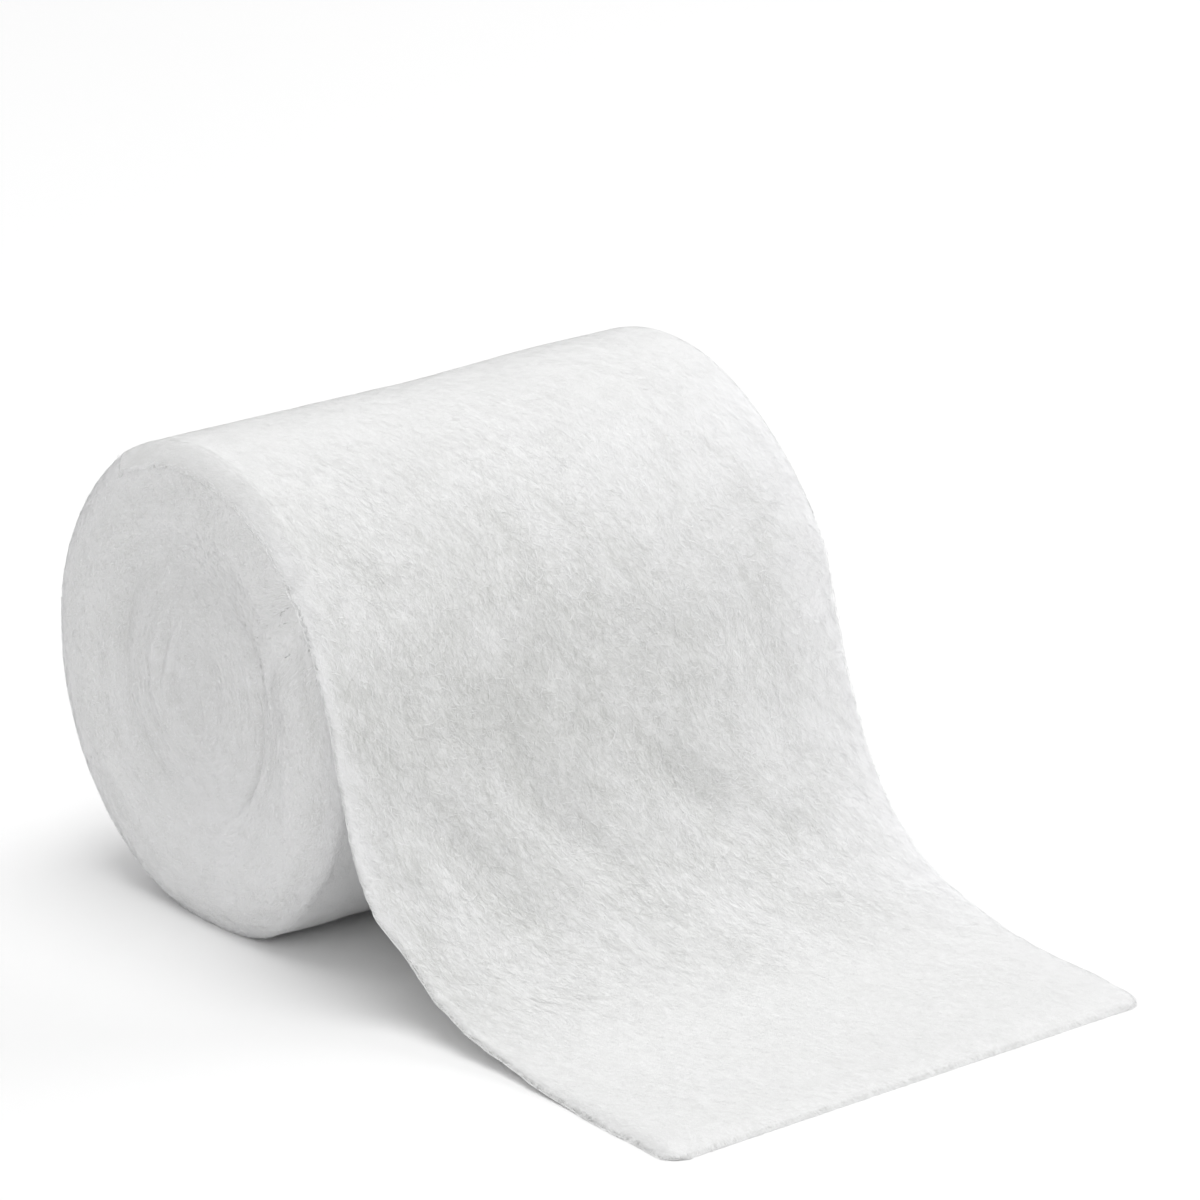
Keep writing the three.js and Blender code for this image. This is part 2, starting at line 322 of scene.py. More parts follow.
def roll_surface(w, angle):
    """Points on the roll at w along its outline and an angle about its axis."""
    angle = angle % 360
    nominal, x = roll_profile(w)
    side = np.where(w < PROFILE_LENGTH / 2, -1.0, 1.0)
    on = np.minimum(w, PROFILE_LENGTH - w)
    along = (angle - SHEET_START) * math.radians(ROLL_RADIUS)
    edge = roll_edge(angle, side)
    lip = 1 - ease(angle, *LIP_FADES)
    climb = ((angle - SHEET_LEAVES) % 360) / (SHEET_START + 360 - SHEET_LEAVES)
    wound = (angle > SHEET_LEAVES) | (angle < SHEET_START)
    inset = (SHEET + SEAT) * np.where(wound, np.clip(1 - climb, 0, 1), 1 - lip)
    envelope = envelope_radius(angle, x)
    radius = nominal / ROLL_RADIUS * (envelope - inset)

    hug = hug_share(along)
    half_sheet = sheet_thickness(along) / 2
    edge_turn = (edge - FLAT_RADIUS) / SHOULDER_ARC * math.pi / 2
    bare_drop = SHOULDER_REACH * (1 - np.sin(edge_turn))
    sheet_drop = hug * shoulder_drop(SHOULDER_DEPTH * np.cos(edge_turn))
    raised = np.maximum(0, bare_drop - sheet_drop + LIP_PROUD * half_sheet) * lip * ~wound
    raised = raised * ease(on, edge - LIP_REACH, edge)
    radius += raised
    dropped = hug * shoulder_drop(np.abs(x) - shoulder_start(side))
    level = envelope - dropped + LIP_PROUD * half_sheet
    radius = np.where(~wound & (on > edge), np.minimum(radius, level), radius)

    inside = np.clip((on - edge) / ROUNDED, 0, 1)
    under = envelope - dropped - SEAT
    under -= half_sheet * (1 + np.sqrt(1 - (1 - inside) ** 2))
    sunk = ease(on - edge, *LIP_UNDER)
    radius += (np.minimum(radius, under) - radius) * sunk * ~wound
    radius -= START_DIP * sunk * ease(angle, SHEET_START - 2.6, SHEET_START) * (angle < SHEET_START)

    shown = nominal + raised
    on_face = 1 - ease(shown, ROLL_RADIUS - 9, ROLL_RADIUS - 4)
    near_recess = face_recess(shown, angle, NEAR_MARKS, 11)
    recess = np.where(x < 0, near_recess, face_recess(shown, angle, FAR_MARKS, 71))
    place = round_axis(x, radius, angle)
    free = ease(nominal, ROLL_RADIUS - 6, ROLL_RADIUS) * np.where(wound, 1, ease(angle, 160, 168))
    lumps = layered_noise(place, (0.28, 16, 5), (0.16, 5, 6), (0.06, 1.8, 7))
    radius = radius + (lumps - 0.3) * free * ease(climb, 0, 0.05) * (1 - ease(climb, 0.95, 1))
    theta = np.radians(angle)
    y = AXIS_Y + radius * np.cos(theta)
    z = AXIS_HEIGHT + radius * np.sin(theta)
    return np.stack([x - np.sign(x) * recess * on_face, y, np.maximum(z, 0.0)], 1)


# The loose end

def path_table():
    """The sheet's outer surface along its path: (along, y, z, outward y, outward z) rows."""
    leave = math.radians(SHEET_LEAVES)
    early = math.radians(SHEET_START) + FEATHER[0] / ROLL_RADIUS
    turns = np.linspace(early, leave, 900)
    arc = np.stack([AXIS_Y + ROLL_RADIUS * np.cos(turns), AXIS_HEIGHT + ROLL_RADIUS * np.sin(turns)], 1)
    top = arc[-1]
    down = np.array([-math.sin(leave), math.cos(leave)])
    foot = np.array([FLAT_FROM, SHEET])
    control = (top, top + FALL_TOP * down, foot + [FALL_FOOT, 0], foot)
    u = np.linspace(0, 1, 1200)[1:, None]
    shares = ((1 - u) ** 3, 3 * u * (1 - u) ** 2, 3 * u * u * (1 - u), u ** 3)
    curve = sum(place * share for place, share in zip(control, shares))
    tip_y = TIP_SKEW * (WIDTH / 2 - EDGES[-1][1] - CORNER_RADIUS) / (WIDTH / 2) - LENGTH / 2
    flat = np.stack([np.linspace(FLAT_FROM, tip_y, 200)[1:], np.full(199, SHEET)], 1)
    points = np.vstack([arc, curve, flat])
    steps = np.linalg.norm(np.diff(points, axis=0), axis=1)
    along = np.concatenate([[0], np.cumsum(steps)]) + FEATHER[0]
    tangent = np.gradient(points, along, axis=0)
    tangent = tangent / np.linalg.norm(tangent, axis=1, keepdims=True)
    return np.column_stack([along, points, tangent[:, 1], -tangent[:, 0]])


PATH = path_table()
PATH_END = PATH[-1, 0]


def sheet_grain(across, along, lengthwise):
    """Places across and along the sheet's fibres, which run aslant, drawn together lengthwise."""
    turn = math.radians(FIBRE_SLANT)
    sideways = across * math.cos(turn) - along * math.sin(turn)
    return np.stack([sideways, (across * math.sin(turn) + along * math.cos(turn)) * lengthwise,
                     np.zeros_like(across)], 1)


def hollow_depth(along, across):
    depth = np.zeros_like(across)
    for row_along, row_across, length, wide, slant, deep in HOLLOWS:
        turn = math.radians(slant)
        du, dx = along - row_along, across - row_across
        lengthwise = du * math.cos(turn) + dx * math.sin(turn)
        sideways = dx * math.cos(turn) - du * math.sin(turn)
        depth += deep * bump(lengthwise / length) * bump(sideways / wide)
    return depth * ease(along, 74, 90)


def on_floor(along):
    """1 where the sheet lies on the table."""
    return ease(along, PATH_END - 45, PATH_END - 25)


def steep(along):
    """1 where the sheet falls steeply, 0 where it is pressed flat on the roll's top and the table."""
    return ease(along, 22, 66) * (1 - ease(along, 106, 148))


def sheet_surface(across, along, depth):
    """Points at a distance across and along the sheet, depth under its outer surface."""
    x = x_across(across, along)
    y, z, ny, nz = (np.interp(along, PATH[:, 0], PATH[:, k]) for k in (1, 2, 3, 4))
    angle = np.clip(SHEET_START + (SHEET_LEAVES - SHEET_START) * along / ON_ROLL, 0, SHEET_LEAVES)
    swell = (envelope_radius(angle, x) - ROLL_RADIUS) * (1 - ease(along, ON_ROLL - 6, ON_ROLL + 14))
    free = ease(along, ON_ROLL - 5, ON_ROLL + 11)
    grain = sheet_grain(across, along, 0.5)
    waves = layered_noise(grain, (0.36, 9, 31), (0.18, 3.6, 32))
    waves *= free * (1 - 0.85 * on_floor(along))
    small = 0.04 * soft_noise(grain, 2.8, 33)
    down = hug_share(along) * shoulder_drop(np.abs(x) - shoulder_start(x)) + hollow_depth(along, across)
    down += depth - swell + waves + small * (1 - free)
    skew = TIP_SKEW * ease(along, PATH_END - SKEW_REACH, PATH_END) * x / (WIDTH / 2)
    return np.stack([x, y - ny * down + skew, np.maximum(z - nz * down, 0.0)], 1)


def fibre_nap(across, along):
    """Fine tufts on the sheet's outer side, in millimetres."""
    grain = sheet_grain(across, along, 0.5)
    tufts = layered_noise(grain, (0.062, 1.25, 41), (0.025, 0.8, 42))
    return tufts * (0.3 + 0.7 * steep(along))


def rounding(across, along):
    """How full the sheet is near its edges, from 0 to 1, and how far inside its side edge it is."""
    side = np.where(across < 0, -1.0, 1.0)
    edge = sheet_reach(along, side) - np.abs(across)
    soft = ROUNDED * (0.2 + 0.8 * ease(along, ON_ROLL - 14, ON_ROLL) + 1.2 * on_floor(along))
    into = np.clip(np.minimum(edge / soft, (PATH_END - along) / TIP_ROUNDED), 0, 1)
    return np.sqrt(1 - (1 - into) ** 2), edge


def sheet_tone(across, along):
    """How light the web looks: cloudy at random, with painted shade where it hangs and in its hollows, and
    painted light near its edges and towards its far edge.
    """
    grain = sheet_grain(across, along, 0.45)
    cloud = layered_noise(grain, (0.13, 8, 61), (0.20, 3.2, 62), (0.12, 1.4, 63))
    hanging = steep(along)
    _, edge = rounding(across, along)
    band = THIN_LIT_BAND * (1 + 0.5 * soft_noise(grain, 7, 51))
    # painted light: where it hangs, the web is lighter in a band along its edges and tip, for light shining
    # through the thin web
    thin = 1 - ease(np.minimum(edge, PATH_END - along), 0, band)
    # by the near edge where it comes down to the table that painted light is left out, and the web is a
    # little darker there
    near_foot = ease(-across, 30, 44) * bump((along - 125) / 22)
    thin = thin * (1 - near_foot)
    # painted light: lighter towards the far edge, most where it hangs, for light shining through the web from
    # behind, and lighter in a patch high on the fall
    painted_glow = (0.12 * ease(across, 8, 40) + 0.4 * ease(across, 33, 48)) * (0.3 + 0.7 * hanging)
    painted_glow += 0.18 * ease(across, -10, 20) * bump((along - 50) / 15) - 0.1 * near_foot
    # painted shade: darker in the hollows, where shade falls
    hollow_shade = 0.08 * hollow_depth(along, across)
    # painted shade: a broad darker patch on the near half of the fall
    painted_shade_patch = 0.2 * bump((along - 80) / 17) * bump((across + 20) / 28)
    # painted shade where it hangs: the web is darker on the steep fall, and its random clouds show more
    # strongly there
    web = 0.62 + 0.1 * hanging + cloud * (0.12 + 0.75 * hanging)
    return web - hollow_shade - painted_shade_patch + (0.5 * thin - 0.36) * hanging + painted_glow


def roll_tone(w, angle):
    """How light the wound turns look: cloudy at random, with painted shade in the sunk parts of their marks
    and painted light on the raised ones, painted rim light, most on the back, and painted light low on the
    faces.
    """
    nominal, x = roll_profile(w)
    angle = angle % 360
    near = marks_depth(NEAR_MARKS, nominal, angle)
    far = marks_depth(FAR_MARKS, nominal, angle)
    cloud = layered_noise(round_axis(w, 12, angle), (0.08, 4, 81), (0.12, 1.6, 82))
    # painted rim light: lighter round the rim, most on the back side, for light from behind
    behind = ease(np.cos(np.radians(angle)), -0.1, 0.5)
    rim_light = 0.3 * ease(nominal, 36, 39.5) + 0.35 * ease(nominal, 31, 39) * behind
    # painted light: lighter low on the end faces
    low = 0.3 * bump((angle - 248) / 42) * ease(nominal, 5, 18) * (1 - ease(nominal, 32, 38))
    # painted shade: darker where the marks sink into the face, lighter where they stand out
    return 0.6 + cloud + rim_light + low - 0.22 * np.where(x < 0, near, far)


# Meshes

def mesh_object(name, points, faces, material, **layers):
    """A named smooth mesh from points in millimetres, with named vectors on its points."""
    mesh = bpy.data.meshes.new(name)
    mesh.from_pydata((points * MM).tolist(), [], faces.tolist() if hasattr(faces, "tolist") else faces)
    mesh.polygons.foreach_set("use_smooth", np.ones(len(mesh.polygons), bool))
    for layer_name, vectors in layers.items():
        layer = mesh.attributes.new(layer_name, "FLOAT_VECTOR", "POINT")
        layer.data.foreach_set("vector", vectors.astype(np.float32).ravel())
    mesh.materials.append(material)
    mesh.validate()
    mesh.update()
    made = bpy.data.objects.new(name, mesh)
    bpy.context.scene.collection.objects.link(made)
    return made


def grid_faces(rows, columns, wrap):
    """Quads over a grid of points, row by row. wrap joins the last column to the first."""
    r, c = np.meshgrid(np.arange(rows - 1), np.arange(columns if wrap else columns - 1), indexing="ij")
    n = (c + 1) % columns
    quads = np.stack([r * columns + c, r * columns + n, (r + 1) * columns + n, (r + 1) * columns + c], -1)
    return quads.reshape(-1, 4)


def tone_layer(tone):
    """A tone as the first part of a vector."""
    return np.stack([np.clip(tone, 0, 1), np.zeros_like(tone), np.zeros_like(tone)], 1)


def roll_grain(w, angle):
    """Coordinates in which the roll's fibres are even: they run round it."""
    return round_axis(w, 8.5, angle) * MM


def build_roll(sizes, material):
    around = sizes.roll_steps
    face = np.linspace(0.35, FLAT_RADIUS, 70)
    shoulder = FLAT_RADIUS + np.linspace(0, SHOULDER_ARC, 34)[1:]
    side = FLAT_RADIUS + SHOULDER_ARC + np.linspace(0, SIDE_LENGTH, 38)[1:-1]
    w = np.concatenate([face, shoulder, side, PROFILE_LENGTH - shoulder[::-1], PROFILE_LENGTH - face[::-1]])
    angle = SHEET_START + 0.3 + np.arange(around) * 360 / around
    ww, aa = np.meshgrid(w, angle, indexing="ij")
    points = roll_surface(ww.ravel(), aa.ravel())
    rows = len(w)
    middles = [points[:around].mean(0), points[-around:].mean(0)]
    all_points = np.vstack([points, middles])
    faces = grid_faces(rows, around, True)[:, ::-1].tolist()
    near_middle, far_middle = len(points), len(points) + 1
    last = (rows - 1) * around
    for k in range(around):
        n = (k + 1) % around
        faces.append((near_middle, k, n))
        faces.append((far_middle, last + n, last + k))
    ww = np.concatenate([ww.ravel(), [0, PROFILE_LENGTH]])
    aa = np.concatenate([aa.ravel(), [0, 0]])
    return mesh_object("wound_turns", all_points, faces, material, grain=roll_grain(ww, aa),
                       tone=tone_layer(roll_tone(ww, aa)))


def build_sheet(sizes, material):
    columns = sizes.sheet_columns
    rows = sizes.sheet_rows
    along = np.linspace(FEATHER[0], PATH_END, rows)
    share = np.linspace(-1, 1, columns + 1)
    share = np.sign(share) * (1 - (1 - np.abs(share)) ** 1.1)
    near, far = (sheet_reach(along, np.full(rows, side)) for side in (-1.0, 1.0))
    across = np.where(share < 0, share * near[:, None], share * far[:, None]).ravel()
    along = np.repeat(along, columns + 1)
    full, _ = rounding(across, along)
    half = sheet_thickness(along) / 2
    full = np.maximum(full, 0.04)
    lower_depth = half * (1 + np.maximum(full, on_floor(along)))
    nap = fibre_nap(across, along) * full * ease(along, *FEATHER)
    upper_depth = np.where(on_floor(along) > 0, 2 * half - half * (1 + on_floor(along)) * full - half *
                           (1 - on_floor(along)), half * (1 - full))
    upper = sheet_surface(across, along, upper_depth - nap)
    lower = sheet_surface(across, along, lower_depth)
    count = rows * (columns + 1)
    up_faces = grid_faces(rows, columns + 1, False)
    faces = [up_faces[:, ::-1], up_faces + count]
    r = np.arange(rows - 1)
    left = r * (columns + 1)
    right = left + columns
    down = columns + 1
    faces.append(np.stack([left, left + down, left + down + count, left + count], 1))
    faces.append(np.stack([right, right + count, right + down + count, right + down], 1))
    c = np.arange(columns)
    last = (rows - 1) * (columns + 1)
    faces.append(np.stack([c, c + count, c + 1 + count, c + 1], 1)[:, ::-1])
    faces.append(np.stack([last + c, last + c + 1, last + c + 1 + count, last + c + count], 1)[:, ::-1])
    grain = sheet_grain(across, along, 0.28) * MM
    tone = tone_layer(sheet_tone(across, along))
    made = mesh_object("padding_sheet", np.vstack([upper, lower]), np.vstack(faces), material,
                       grain=np.vstack([grain, grain + [0, 0, 0.04]]), tone=np.vstack([tone, tone]))
    walls = sum(len(part) for part in faces[:4])
    for wall in made.data.polygons[walls:walls + columns]:
        wall.use_smooth = False  # the thin wall at the start casts no shading onto the outer side
    return made


# Fibres

EDGE_TUFT = 0.3  # how far fibres stand out past the sheet's edges
NORMAL_STEP = 0.15  # the step over which a surface's outward direction is found
EVEN_ENOUGH = 0.8  # the least cosine between the outward directions of a fibre's stations


def ribbons(points, outward, width, twist):
    """Flat pointed ribbons, each turned about its length. points and outward are (n, stations, 3)."""
    n, stations, _ = points.shape
    forward = unit(np.gradient(points, axis=1))
    across = unit(np.cross(forward, outward))
    across = across * np.cos(twist)[:, None, None] + outward * np.sin(twist)[:, None, None]
    shape = np.sin(np.linspace(0, math.pi, stations)) ** 0.5
    half = across * (width[:, None] * shape)[:, :, None] / 2
    inner = slice(1, stations - 1)
    verts = np.concatenate([points[:, :1], points[:, inner] - half[:, inner],
                            points[:, inner] + half[:, inner], points[:, -1:]], axis=1)
    mids = stations - 2
    first, last = 0, 1 + 2 * mids
    a, b = 1, 1 + mids
    tris = [[first, a, b]]
    for k in range(mids - 1):
        tris += [[a + k, a + k + 1, b + k + 1], [a + k, b + k + 1, b + k]]
    tris.append([a + mids - 1, last, b + mids - 1])
    faces = (np.arange(n) * verts.shape[1])[:, None, None] + np.array(tris)[None]
    return verts.reshape(-1, 3), faces.reshape(-1, 3)


def curled_paths(surface, u, v, length, heading, height, curl, stations, rng):
    """Paths that curl over a surface given by surface(u, v), at a height off it for each station."""
    n = len(u)
    legs = np.linspace(-0.5, 0.5, stations - 1)
    bend = rng.normal(0, curl, n)[:, None] * legs
    swing = rng.normal(0, 0.35, n)
    phase = rng.uniform(0, 2 * math.pi, n)
    sway = swing[:, None] * np.sin(2 * math.pi * legs + phase[:, None])
    turn = heading[:, None] + bend + sway
    leg = (length / (stations - 1))[:, None]
    start = np.zeros((n, 1))
    du = np.hstack([start, np.cumsum(np.sin(turn) * leg, axis=1)])
    dv = np.hstack([start, np.cumsum(np.cos(turn) * leg, axis=1)])
    uu = (u[:, None] + du - du.mean(1, keepdims=True)).ravel()
    vv = (v[:, None] + dv - dv.mean(1, keepdims=True)).ravel()
    at = surface(uu, vv)
    outward = unit(np.cross(surface(uu, vv + NORMAL_STEP) - at, surface(uu + NORMAL_STEP, vv) - at))
    points = at + outward * height.ravel()[:, None]
    return points.reshape(n, stations, 3), outward.reshape(n, stations, 3)


def standing(lift, stray, stations, rng):
    """The height of each station of a fibre: matted, looped or with one end standing up."""
    arch = np.sin(np.linspace(0, math.pi, stations))
    loop = rng.random(len(lift)) < 0.5
    profile = np.where(loop[:, None], arch, np.linspace(0, 1, stations) ** 1.5)
    return lift[:, None] + stray[:, None] * profile


def sheet_outer(across, along):
    """The sheet's outer surface, carried on past its edges for stray fibres."""
    beyond = EDGE_TUFT * (1 - np.exp(-np.maximum(0, along - PATH_END) / EDGE_TUFT))
    held = np.clip(along, FEATHER[0], PATH_END - 0.02)
    limit = sheet_reach(held, np.where(across < 0, -1.0, 1.0)) - 0.02
    out = EDGE_TUFT * (1 - np.exp(-np.maximum(0, np.abs(across) - limit) / EDGE_TUFT))
    inside = np.sign(across) * np.minimum(np.abs(across), limit)
    full, _ = rounding(inside, held)
    half = SHEET / 2
    depth = half * (1 - full) * (1 + on_floor(held)) - fibre_nap(inside, held) * full
    points = sheet_surface(inside, held, depth)
    points[:, 0] += np.sign(across) * out
    points[:, 1] -= beyond
    return points


def sheet_under(across, along):
    held = np.clip(along, 0, PATH_END - 1.5)
    limit = sheet_reach(held, np.where(across < 0, -1.0, 1.0)) - 1.2
    return sheet_surface(np.clip(across, -limit, limit), held, np.full_like(across, SHEET))


def fibre_piece(name, points, outward, width, tone, rng, material, twist=0.5):
    """Ribbons of uneven width and twist, each of its own tone."""
    n = len(points)
    turned = np.clip(rng.normal(0, 1, n) * twist, -1.2, 1.2)
    verts, faces = ribbons(points, outward, width * rng.uniform(0.6, 1.3, n), turned)
    verts[:, 2] = np.maximum(verts[:, 2], 0.02)
    return mesh_object(name, verts, faces, material, tone=tone_layer(np.repeat(tone, len(verts) // n)))


def patchy_heading(slant, spread, places, seed, rng):
    """Headings about a slant, which drifts from patch to patch."""
    n = len(places)
    drift = 26 * soft_noise(places, 12, seed)
    stray = rng.random(n) < 0.15
    return np.radians(slant + drift + np.where(stray, rng.uniform(-90, 90, n), rng.normal(0, spread, n)))


SHEET_LAYERS = (  # name, share, stations, curl, width, twist, lift, stray, stands up, tone (how much lighter than the web, painted lighter still where the sheet falls steeply), its spread
    ("matted", 0.50, 3, 0.9, 1.1, 0.08, (0.005, 0.03), 0.01, 0.0, 0.05, 0.2),
    ("fine", 0.30, 4, 1.2, 0.7, 0.2, (0.02, 0.08), 0.035, 0.0, 0.35, 0.22),
    ("wisps", 0.20, 5, 1.5, 0.8, 0.4, (0.03, 0.15), 0.07, 0.04, 0.6, 0.2),
)


def sheet_fibres(layer, seed, material, fibres):
    """One layer of fibres on the sheet's outer side, from matted close to it to wisps that stand off it."""
    name, share, stations, curl, width, twist, lift, stray, upright, lighter, spread = layer
    count = int(fibres.on_sheet * share)
    rng = np.random.default_rng(seed)
    along = rng.uniform(FEATHER[0], PATH_END, count)
    across = rng.uniform(-WIDTH / 2, WIDTH / 2, count)
    length = fibres.length / MM * rng.lognormal(0, 0.45, count)
    slant = FLAT_SLANT + (FIBRE_SLANT - FLAT_SLANT) * steep(along)
    heading = patchy_heading(slant, 24, np.stack([across, along, along * 0], 1), 91, rng)
    loft = 0.08 + 0.82 * steep(along)
    # the fibres are lighter than the web, and painted lighter still where the sheet falls steeply: painted
    # light for the overhead light their upper sides catch there
    tone = sheet_tone(across, along) + rng.normal(lighter, spread, count) * loft
    standing_up = (rng.random(count) < upright) * rng.uniform(0.1, 0.5, count)
    strays = (np.abs(rng.normal(0, stray, count)) + standing_up) * loft
    height = standing(rng.uniform(*lift, count) * loft, strays, stations, rng)
    points, outward = curled_paths(sheet_outer, across, along, length, heading, height, curl, stations, rng)
    width *= fibres.thickness / MM
    return fibre_piece("sheet_fibres_" + name, points, outward, width, tone, rng, material, twist * loft)


def underside_fibres(name, count, seed, material, fibres):
    """Fibres on the side of the loose end that faces the table."""
    rng = np.random.default_rng(seed)
    along = rng.uniform(ON_ROLL, PATH_END - 8, count)
    across = rng.uniform(-WIDTH / 2, WIDTH / 2, count)
    length = fibres.length / MM * rng.lognormal(0, 0.4, count)
    heading = patchy_heading(-FIBRE_SLANT, 30, np.stack([across, along, along * 0], 1), 92, rng)
    lift = rng.uniform(0.02, 0.15, count)
    height = standing(-lift, -np.abs(rng.normal(0, 0.12, count)), 4, rng)
    points, outward = curled_paths(sheet_under, across, along, length, heading, height, 0.8, 4, rng)
    tone = sheet_tone(across, along) + rng.normal(0, 0.15, count)
    return fibre_piece(name, points, outward, fibres.thickness / MM, tone, rng, material)


def roll_fibres(name, count, w_range, angle_range, slant, spread, seed, material, fibres):
    """Matted fibres over a stretch of the roll's outline, left out where the sheet covers it."""
    rng = np.random.default_rng(seed)
    tried = int(count * 3.2)
    w = rng.uniform(*w_range, tried)
    angle = rng.uniform(*angle_range, tried)
    side = np.where(w < PROFILE_LENGTH / 2, -1.0, 1.0)
    turned = angle % 360
    covered = (turned > SHEET_START + 2) & (turned < SHEET_LEAVES - 8)
    covered &= np.minimum(w, PROFILE_LENGTH - w) > roll_edge(turned, side) + 0.4
    even = rng.random(tried) * ROLL_RADIUS < roll_profile(w)[0]
    kept = np.flatnonzero(even & ~covered)[:count]
    w, angle = w[kept], angle[kept]
    count = len(w)
    radius = np.maximum(roll_profile(w)[0], 3.0)
    share = 0.3 + 0.7 * ease(radius, 34, 40)  # the cut ends on the faces are short
    length = fibres.length / MM * rng.lognormal(-0.1, 0.4, count) * share
    heading = patchy_heading(slant, spread, round_axis(w, radius, angle), seed + 1, rng)
    lift = rng.uniform(0.01, 0.08, count) * (0.5 + 0.5 * share)
    stray = np.abs(rng.normal(0, 0.06, count)) + (rng.random(count) < 0.03) * rng.uniform(0.1, 0.4, count)
    stray *= share
    span = np.degrees(1 / radius)

    def surface(u, v):
        return roll_surface(np.clip(u, 0.4, PROFILE_LENGTH - 0.4), v * np.repeat(span, 4))

    height = standing(lift, stray, 4, rng)
    points, outward = curled_paths(surface, w, angle / span, length, heading, height, 0.9, 4, rng)
    tone = roll_tone(w, angle) - 0.14 + np.abs(rng.normal(0, 0.8, count))
    width = fibres.thickness / MM * (1.6 - 0.7 * share)
    even = (outward[:, 1:] * outward[:, :-1]).sum(2).min(1) > EVEN_ENOUGH  # the rest bend over a sharp fold
    return fibre_piece(name, points[even], outward[even], width[even], tone[even], rng, material, 0.2)


# Materials

def node(tree, kind, **inputs):
    """A shader node with its plain inputs set by name."""
    made = tree.nodes.new(kind)
    for name, value in inputs.items():
        made.inputs[name.replace("_", " ")].default_value = value
    return made


def math_node(tree, operation, first, second):
    """A Math node of two values, each a number or a socket."""
    made = tree.nodes.new("ShaderNodeMath")
    made.operation = operation
    for slot, value in zip(made.inputs, (first, second)):
        if isinstance(value, (int, float)):
            slot.default_value = value
        else:
            tree.links.new(value, slot)
    return made.outputs[0]


def matted_fibre_group():
    """Matted fibre: thin light strands, soft clouds of thicker and thinner web, and how high they stand."""
    group = bpy.data.node_groups.new("Matted Fibre", "ShaderNodeTree")
    face = group.interface
    for name in ("Grain", "Place"):
        face.new_socket(name=name, in_out="INPUT", socket_type="NodeSocketVector")
    for name, value in (("Strands a Metre", 1500.0), ("Clouds a Metre", 110.0)):
        face.new_socket(name=name, in_out="INPUT", socket_type="NodeSocketFloat").default_value = value
    for name in ("Strands", "Clouds", "Height"):
        face.new_socket(name=name, in_out="OUTPUT", socket_type="NodeSocketFloat")
    given = group.nodes.new("NodeGroupInput")
    made = group.nodes.new("NodeGroupOutput")

    def noise(vector, scale, detail, distortion):
        texture = node(group, "ShaderNodeTexNoise", Detail=detail, Roughness=0.55, Distortion=distortion)
        group.links.new(vector, texture.inputs["Vector"])
        group.links.new(scale, texture.inputs["Scale"])
        return texture.outputs["Fac"]

    def thin_lines(value, sharpness):
        off = math_node(group, "ABSOLUTE", math_node(group, "SUBTRACT", value, 0.5), 0.0)
        line = math_node(group, "SUBTRACT", 1.0, math_node(group, "MULTIPLY", off, sharpness))
        return math_node(group, "MAXIMUM", line, 0.0)

    strands = given.outputs["Strands a Metre"]
    first = thin_lines(noise(given.outputs["Grain"], strands, 2.0, 0.9), 9.0)
    wider = math_node(group, "MULTIPLY", strands, 0.57)
    second = thin_lines(noise(given.outputs["Grain"], wider, 3.0, 1.6), 7.0)
    both = math_node(group, "MAXIMUM", first, second)
    cloud = noise(given.outputs["Place"], given.outputs["Clouds a Metre"], 3.0, 0.3)
    patchy = math_node(group, "MULTIPLY", both, math_node(group, "ADD", cloud, 0.35))
    strand_height = math_node(group, "MULTIPLY", patchy, 0.7)
    height = math_node(group, "ADD", strand_height, math_node(group, "MULTIPLY", cloud, 0.6))
    group.links.new(patchy, made.inputs["Strands"])
    group.links.new(cloud, made.inputs["Clouds"])
    group.links.new(height, made.inputs["Height"])
    return group


def mixed(tree, factor, first, second):
    """A colour mixed between two, by a socket."""
    mix = tree.nodes.new("ShaderNodeMix")
    mix.data_type = "RGBA"
    tree.links.new(factor, mix.inputs[0])
    for socket, value in ((mix.inputs[6], first), (mix.inputs[7], second)):
        if isinstance(value, bpy.types.NodeSocket):
            tree.links.new(value, socket)
        else:
            socket.default_value = value
    return mix.outputs[2]


def tone_output(tree):
    """The tone stored on a mesh's points, from 0 to 1."""
    tone = tree.nodes.new("ShaderNodeAttribute")
    tone.attribute_name = "tone"
    parted = tree.nodes.new("ShaderNodeSeparateXYZ")
    tree.links.new(tone.outputs["Vector"], parted.inputs[0])
    return parted.outputs["X"]


def plain_material(name, roughness, shine):
    """A new material, with its node tree and its shader."""
    material = bpy.data.materials.new(name)
    material.use_nodes = True
    shader = material.node_tree.nodes["Principled BSDF"]
    shader.inputs["Roughness"].default_value = roughness
    shader.inputs["Specular IOR Level"].default_value = shine
    return material, material.node_tree, shader


